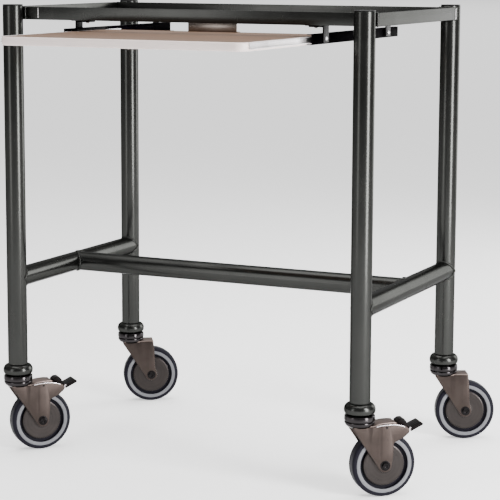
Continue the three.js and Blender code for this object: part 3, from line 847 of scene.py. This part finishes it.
def build_tray(sizes):
    low, high = low_high("tray_edging")
    nose = sizes.nose_depth / MM
    thick = high.z - low.z
    section = [(-nose, low.z), *[
        (-nose + nose * math.sin(math.pi * k / 14) ** 0.62,
         low.z + thick * (1 - math.cos(math.pi * k / 14)) / 2) for k in range(1, 14)
    ], (-nose, high.z)]
    ring = board_outline()
    shape = closed_skin([[at + way * out + UP * z for out, z in section] for at, way in ring])
    piece("tray_nose_band", shape, "edge_band", "tray", replaces=["tray_edging"], sharp=60)
    lap = 0.05
    inset = [(at - way * (nose - lap)).xy for at, way in ring]
    core = slab(inset, low.z + lap, high.z, place=LYING)
    piece("tray_laminate_board", core, "board_laminate", "tray", replaces=["tray_board"])
    softened("tray_stop_sheet", "tray_back_stop", "stop_steel", "tray", 0.6)


# ---- Casters ----
def on_caster(corner, part, name, shape, finish, node=None, sharp=40):
    """A piece of a caster's swivel, wheel or pedal, which may stand for a CAD node."""
    replaces = [f"{corner}_{node}"] if node else ()
    piece(f"{corner}_{name}", shape, finish, f"{corner}_{part}", replaces, sharp)


def cheek_outline(brake, axle):
    """Outline of a fork cheek in X and Z, the axle at x = 0, with round corners."""
    foot_radius, lean = 13.0, 31.4
    foot = arc(0, axle, foot_radius, 180 + lean, 360, 18)
    shoulder = CUP_BASE + 4
    rise = shoulder - foot[0][1]
    front = foot[0][0] - rise * math.tan(math.radians(lean))
    outline = [(front - 4, shoulder, 6), (front + 1, shoulder - 8, 8)]
    outline += foot
    if brake:
        outline += [
            (15.5, axle + 14, 20), (16.5, CROWN_Z - 33, 5), (36, CROWN_Z - 24, 9), (46.5, CROWN_Z - 15, 5),
            (48, CROWN_Z - 9, 4), (40, CROWN_Z - 2.3, 8), (26, CROWN_Z + 1.8, 40), (8, CROWN_Z + 3.2, 60),
            (-12, CROWN_Z + 2.0, 40), (-24, CROWN_Z - 0.5, 18),
        ]
    else:
        outline += [(8.5, axle + 18, 30), (7, CROWN_Z - 18, 30), (4.5, CROWN_Z + 2.4, 3)]
    outline += [(-SWIVEL_OFFSET, CROWN_Z + (-0.5 if brake else 2.4), 4)]
    return rounded(outline, 3, 6)


def press_bend(shape, sign):
    """Pressed step in a cheek: forward of a line from crown to axle the sheet steps inwards."""
    step, width = 1.7, 4
    for vert in shape.verts:
        line = -9 - (vert.co.z - 62) * 0.22
        t = min(max((line - vert.co.x) / width, 0), 1)
        vert.co.y -= sign * step * t * t * (3 - 2 * t)


def build_fork(corner, place):
    """Fork cheeks, crown and cup; a braked one has a longer housing, a painted-highlight rim and pins."""
    brake = corner in BRAKED
    inside = FORK_HALF - FORK_SHEET
    cheeks = bmesh.new()
    for sign in (-1, 1):
        edges = sorted((sign * FORK_HALF, sign * inside))
        cheek = slab(cheek_outline(brake, axle_height(corner)), *edges, soft=1.3, stations=range(-60, 5, 5))
        press_bend(cheek, sign)
        merged(cheek, cheeks, place)
    on_caster(corner, "swivel", "fork_cheeks", cheeks, "fork_nickel", "fork", sharp=28)
    crown = bmesh.new()
    if brake:
        ridge = curve_through([
            (-SWIVEL_OFFSET - 14, CROWN_Z - 0.5), (-30, CROWN_Z + 0.4), (-22, CROWN_Z + 1.4),
            (-8, CROWN_Z + 5.0), (10, CROWN_Z + 6.3), (22, CROWN_Z + 5.4),
        ], 6)
        slab(thickened(ridge, 2.5), -inside, inside, crown, place, soft=0.8)
        # Painted highlight: a thin rim in bright nickel along the housing's top edge stands for the white
        # arc of light there.
        arch = curve_through([
            (-18, CROWN_Z + 0.8), (-6, CROWN_Z + 2.5), (8, CROWN_Z + 3.1), (19, CROWN_Z + 2.6),
            (29, CROWN_Z + 0.8), (38, CROWN_Z - 2.0),
        ], 6)
        roll, pins = bmesh.new(), bmesh.new()
        head = rounded([(0, -1, 0), (2.2, -1, 0), (2.2, 0.6, 0.5), (0, 0.6, 0)], 0.3, 3)
        for sign in (-1, 1):
            edges = sorted((sign * (FORK_HALF - 1.6), sign * (FORK_HALF + 0.5)))
            slab(thickened(arch, 1.7), *edges, roll, place, soft=0.5)
            at_pin = Matrix.Translation((2.5, sign * (FORK_HALF + 0.1), CROWN_Z - 2.8))
            turned(head, 20, pins, place @ at_pin @ Matrix.Rotation(-sign * math.pi / 2, 4, "X"))
        on_caster(corner, "swivel", "housing_rim", roll, "polished_nickel", sharp=50)
        on_caster(corner, "swivel", "brake_rivets", pins, "cap_plastic", sharp=32)
    else:
        start, end = -SWIVEL_OFFSET - 16, 5
        flat = rounded([(start, CROWN_Z), (end, CROWN_Z), (end, CROWN_Z + 3), (start, CROWN_Z + 3)], 1.0, 3)
        slab(flat, 0.2 - FORK_HALF, FORK_HALF - 0.2, crown, place, soft=0.7)
    # The crown wears the lighter copy of the nickel: painted light on the fork's top.
    on_caster(corner, "swivel", "fork_crown", crown, "crown_nickel")
    base, top, radius, wall = CUP_BASE, CUP_TOP, 29.0, 2.4
    cup = rounded([
        (8, base, 0), (radius - 9, base, 4), (radius - 2.5, base + 4.5, 5), (radius, top - 2.5, 3),
        (radius - 0.6, top, 0.8), (radius - wall, top, 0.8), (radius - wall - 2, base + 6, 4),
        (radius - wall - 8, base + 2.6, 3), (8, base + 2.6, 0),
    ], 1, 6)
    at_swivel = place @ Matrix.Translation((-SWIVEL_OFFSET, 0, 0))
    on_caster(corner, "swivel", "swivel_cup", turned(cup, 72, place=at_swivel), "race_chrome", sharp=32)


def thickened(line, sheet):
    """Outline of a sheet that hangs below a line."""
    return [*line, *[(x, z - sheet) for x, z in reversed(line)]]


def curve_through(points, steps):
    """Smooth line through points (Catmull-Rom)."""
    line = []
    for i in range(len(points) - 1):
        p = [Vector(points[min(max(i + n, 0), len(points) - 1)]) for n in (-1, 0, 1, 2)]
        for k in range(steps):
            t = k / steps
            spot = (
                p[1] * 2 + (p[2] - p[0]) * t + (p[0] * 2 - p[1] * 5 + p[2] * 4 - p[3]) * t**2
                + (p[1] * 3 - p[0] - p[2] * 3 + p[3]) * t**3
            ) / 2
            line.append((spot.x, spot.y))
    return [*line, tuple(points[-1])]


def build_stem(corner):
    """Fixed upper race and kingpin, on the leg's own axis."""
    low, high = low_high(f"{corner}_swivel_stem")
    radius = (high.x - low.x) / 2
    foot, seat = CUP_TOP + 1, SEAT_Z - 0.3
    profile = rounded([
        (0, low.z, 0), (9, low.z, 1.5), (11, low.z + 1.5, 1), (10.5, low.z + 3.6, 0), (7, low.z + 3.6, 0),
        (7, foot - 6, 0), (radius - 5, foot - 1.5, 2), (radius - 0.8, foot, 1.2), (radius, foot + 3, 1.5),
        (radius - 0.6, seat - 2.5, 1.5), (radius - 5, seat, 1.5), (17.5, seat, 0), (17.5, high.z, 1),
        (0, high.z, 0),
    ], 0.5, 5)
    on_leg(corner, "upper_race", "swivel_stem", profile, "race_chrome", 72)


def both_faces(outline):
    """A wheel's outline from one face carried on to the mirrored other face."""
    return [*outline, *[(r, -y, *rest) for r, y, *rest in reversed(outline)]]


def build_wheel(corner, place, sizes):
    axle = axle_height(corner)
    spin = place @ Matrix.Translation((0, 0, axle)) @ Matrix.Rotation(-math.pi / 2, 4, "X")
    radius = axle - 0.02
    half = WHEEL_HALF
    groove = half - sizes.groove_depth / MM
    tread = [
        (40.4, groove, 0), (46.8, groove, 0.8), (46.8, half - 2.2, 0), (54.2, half - 2.2, 0),
        (54.2, half - 0.8, 0.5), (58.6, half - 1.1, 3), (radius - 0.5, half - 3.6, 3),
        (radius, half - 7.5, 6), (radius, 2, 0),
    ]
    tyre = turned(rounded(both_faces(tread), 0.6, 5), 128, place=spin)
    on_caster(corner, "wheel", "tyre_tread", tyre, "tyre_rubber", "tyre")
    ring = bmesh.new()
    shoulder = [(46.9, 12, 0), (54.1, 12, 0), (54.1, half - 0.4, 0.9), (46.9, half - 0.7, 1.4)]
    section = rounded(shoulder, 0.5, 4)
    for sign in (-1, 1):
        turned([(r, sign * y) for r, y in section], 128, ring, spin)
    on_caster(corner, "wheel", "tyre_ring", ring, "tyre_ring")
    hub_to_rim = [
        (6.4, half - 0.6, 0.5), (10.6, half - 0.4, 0.8), (12.5, 13.2, 2), (17, 12.4, 3), (33, 12.2, 8),
        (37.8, 12.3, 2), (40.3, 11.7, 1.0), (40.3, 5, 0),
    ]
    disc = turned(rounded(both_faces(hub_to_rim), 0.6, 5), 128, place=spin)
    on_caster(corner, "wheel", "wheel_disc", disc, "wheel_plastic", "wheel_centre")


def build_axle(corner, place):
    """Axle bolt: washers, hexagon heads with a chamfered crown and a hollow end."""
    middle = place @ Matrix.Translation((0, 0, axle_height(corner)))
    shape = bmesh.new()
    washer = rounded([(6, 21.1, 0), (9.6, 21.1, 0.3), (9.6, 22.2, 0.5), (6, 22.2, 0)], 0.3, 3)
    head = [(3.4, 22.1), (7.6, 22.1), (7.6, 25.2), (6.4, 26.2), (4.0, 26.2), (3.4, 25.6)]
    core = rounded([(0, 18, 0), (3.6, 18, 0), (3.6, 25.0, 0.4), (2.2, 24.2, 0.3), (0, 24.0, 0)], 0.3, 3)
    for sign in (-1, 1):
        spin = middle @ Matrix.Rotation(-sign * math.pi / 2, 4, "X")
        for profile, sides in ((washer, 48), (head, 6), (core, 32)):
            turned(profile, sides, shape, spin)
    turned([(0, -18.2), (5.9, -18.2), (5.9, 18.2), (0, 18.2)], 32, shape,
           middle @ Matrix.Rotation(math.pi / 2, 4, "X"))
    on_caster(corner, "swivel", "axle_bolt", shape, "axle_black", "axle", sharp=25)


def build_pedal(corner, place):
    """Brake pedal: ribbed pad, rocker inside the housing and a bright plate under the pad."""
    at = place.copy()
    at.translation = Vector(JOINTS[f"{corner}_pedal_press"]["pos_m"]) / MM - UP * DROP
    pad = rounded([(8, -9.2, 2), (32, 2.2, 1.5), (33.4, 4.8, 1.5), (30.5, 7.4, 2), (7.5, -3.4, 2)], 1, 4)
    shape = slab(pad, -18.6, 18.6, place=at, soft=1.0)
    first_rib, rib_spacing, slope = 12.5, 3.6, 10.8 / 23
    for k in range(5):
        x = first_rib + rib_spacing * k
        z = -3.4 + (x - 7.5) * slope
        rib = rounded([(x - 1, z - 1), (x + 1, z - 0.4), (x + 0.6, z + 0.9), (x - 0.8, z + 0.4)], 0.4, 3)
        slab(rib, -16.5, 16.5, shape, at, soft=0.3)
    lobe = rounded([
        (-6, -4.5, 3), (9, -6.5, 3), (11, -3, 2), (4, 4, 4), (1.5, 10, 4), (-3, 15.2, 3), (-11, 14.8, 4),
        (-16.5, 10, 2), (-16, 7, 2), (-9, 2, 4),
    ], 2, 4)
    slab(lobe, -11.8, 11.8, shape, at, soft=1.0)
    on_caster(corner, "pedal", "pedal_rocker", shape, "pedal_plastic", "brake_pedal")
    plate_line = rounded([(6, -9.6, 0.5), (10.8, -7.4, 0.5), (9.6, -0.8, 0.5), (5.2, -3.0, 0.5)], 0.5, 3)
    spring = slab(plate_line, -17.5, 17.5, place=at, soft=0.4)
    on_caster(corner, "pedal", "pedal_plate", spring, "polished_nickel")


def build_casters(sizes):
    for corner in CORNERS:
        place = caster_place(corner)
        build_stem(corner)
        build_fork(corner, place)
        build_wheel(corner, place, sizes)
        build_axle(corner, place)
        if corner in BRAKED:
            build_pedal(corner, place)


# ---- Stage ----
def soft_light(name, azimuth, distance, height, size, power):
    """Rectangular soft light that faces the desk; azimuth is its direction from the desk, from +X."""
    data = bpy.data.lights.new(name, "AREA")
    data.shape = "RECTANGLE"
    data.size, data.size_y = size
    data.energy = power
    light = placed(name, data)
    turn = math.radians(azimuth)
    light.location = (distance * math.cos(turn), distance * math.sin(turn), height)
    aim = UP * AIM_HEIGHT - light.location
    light.rotation_euler = aim.to_track_quat("-Z", "Y").to_euler()
    light.visible_camera = False
    return light


def build_stage(colours):
    floor_mesh = bpy.data.meshes.new("studio_floor")
    reach = 60.0
    floor_mesh.from_pydata(
        [(-reach, -reach, 0), (reach, -reach, 0), (reach, reach, 0), (-reach, reach, 0)], [], [(0, 1, 2, 3)]
    )
    floor_mesh.materials.append(seamless_paper("seamless_paper", colours.floor))
    placed("studio_floor", floor_mesh)
    world = bpy.data.worlds.new("studio_world")
    world.use_nodes = True
    background = world.node_tree.nodes["Background"]
    background.inputs["Color"].default_value = (1, 1, 1, 1)
    background.inputs["Strength"].default_value = 0.3
    bpy.context.scene.world = world
    soft_light("right_strip", -16, 2.6, 0.9, (0.7, 2.2), 190)
    soft_light("back_right_panel", 62, 3.2, 1.0, (1.6, 1.8), 105)
    soft_light("front_left_fill", -114, 3.0, 1.0, (0.8, 2.0), 26)
    soft_light("overhead", 90, 0.01, 3.2, (3.6, 3.6), 200)
    far = soft_light("far_floor", 115, 22, 10, (40, 40), 4000)
    far.rotation_euler = (0, 0, 0)


def build_camera():
    """Long lens to the right of the front; its place is in metres from the nearest leg."""
    data = bpy.data.cameras.new("camera")
    data.lens = 130.964
    data.sensor_width = 36
    data.shift_y = -0.05
    data.clip_end = 200
    camera = placed("camera", data)
    from_leg = Vector((1.22247, -3.08680, 1.00324))
    yaw, pitch, roll = (math.radians(value) for value in (25.169, 8.373, 0.226))
    aimed = Matrix.Rotation(yaw, 4, "Z") @ Matrix.Rotation(math.pi / 2 - pitch, 4, "X")
    levelled = aimed @ Matrix.Rotation(roll, 4, "Z")
    camera.matrix_world = Matrix.Translation(leg_axis("front_right") * MM + from_leg) @ levelled
    bpy.context.scene.camera = camera


# ---- Operators ----
class DESK_OT_finishes(bpy.types.Operator):
    """Make every finish from the colours"""

    bl_idname = "desk.finishes"
    bl_label = "Finishes"

    def execute(self, context):
        FINISHES.update(make_finishes(context.scene.desk_colours))
        return {"FINISHED"}


class DESK_OT_tubes(bpy.types.Operator):
    """Build the legs, caps, collars and stretchers"""

    bl_idname = "desk.tubes"
    bl_label = "Tube frame"

    def execute(self, context):
        build_legs()
        build_collars()
        build_stretchers()
        return {"FINISHED"}


class DESK_OT_top_frame(bpy.types.Operator):
    """Build the angle-iron top frame and its bearers"""

    bl_idname = "desk.top_frame"
    bl_label = "Top frame"

    def execute(self, context):
        build_top_frame(context.scene.desk_sizes)
        return {"FINISHED"}


class DESK_OT_welds(bpy.types.Operator):
    """Grow the weld beads"""

    bl_idname = "desk.welds"
    bl_label = "Welds"

    def execute(self, context):
        build_welds(context.scene.desk_sizes)
        return {"FINISHED"}


class DESK_OT_slides(bpy.types.Operator):
    """Build the ball slides and their hangers"""

    bl_idname = "desk.slides"
    bl_label = "Slides"

    def execute(self, context):
        build_slides(context.scene.desk_sizes)
        build_screws(context.scene.desk_sizes)
        return {"FINISHED"}


class DESK_OT_tray(bpy.types.Operator):
    """Build the keyboard tray"""

    bl_idname = "desk.tray"
    bl_label = "Keyboard tray"

    def execute(self, context):
        build_tray(context.scene.desk_sizes)
        return {"FINISHED"}


class DESK_OT_casters(bpy.types.Operator):
    """Build the four swivel casters"""

    bl_idname = "desk.casters"
    bl_label = "Casters"

    def execute(self, context):
        build_casters(context.scene.desk_sizes)
        return {"FINISHED"}


class DESK_OT_stage(bpy.types.Operator):
    """Set up the floor, the soft lights and the camera"""

    bl_idname = "desk.stage"
    bl_label = "Stage"

    def execute(self, context):
        build_stage(context.scene.desk_colours)
        build_camera()
        return {"FINISHED"}


OPERATORS = (
    DESK_OT_finishes, DESK_OT_tubes, DESK_OT_top_frame, DESK_OT_welds, DESK_OT_slides, DESK_OT_tray,
    DESK_OT_casters, DESK_OT_stage,
)


class DESK_PT_panel(bpy.types.Panel):
    """Lists the desk's pieces and settings"""

    bl_idname = "DESK_PT_panel"
    bl_label = "Mobile desk"
    bl_space_type = "VIEW_3D"
    bl_region_type = "UI"
    bl_category = "Desk"

    def draw(self, context):
        column = self.layout.column()
        for group in (context.scene.desk_sizes, context.scene.desk_colours):
            for key in group.__annotations__:
                column.prop(group, key)
        for operator in OPERATORS:
            column.operator(operator.bl_idname)


CLASSES = (DeskSizes, DeskColours, *OPERATORS, DESK_PT_panel)


def register():
    for cls in CLASSES:
        bpy.utils.register_class(cls)
    bpy.types.Scene.desk_sizes = bpy.props.PointerProperty(type=DeskSizes)
    bpy.types.Scene.desk_colours = bpy.props.PointerProperty(type=DeskColours)


def unregister():
    del bpy.types.Scene.desk_colours
    del bpy.types.Scene.desk_sizes
    for cls in reversed(CLASSES):
        bpy.utils.unregister_class(cls)


def main():
    register()
    bpy.ops.desk.finishes()
    bpy.ops.desk.stage()
    bpy.ops.desk.tubes()
    bpy.ops.desk.top_frame()
    bpy.ops.desk.welds()
    bpy.ops.desk.slides()
    bpy.ops.desk.tray()
    bpy.ops.desk.casters()


if __name__ == "__main__":
    main()
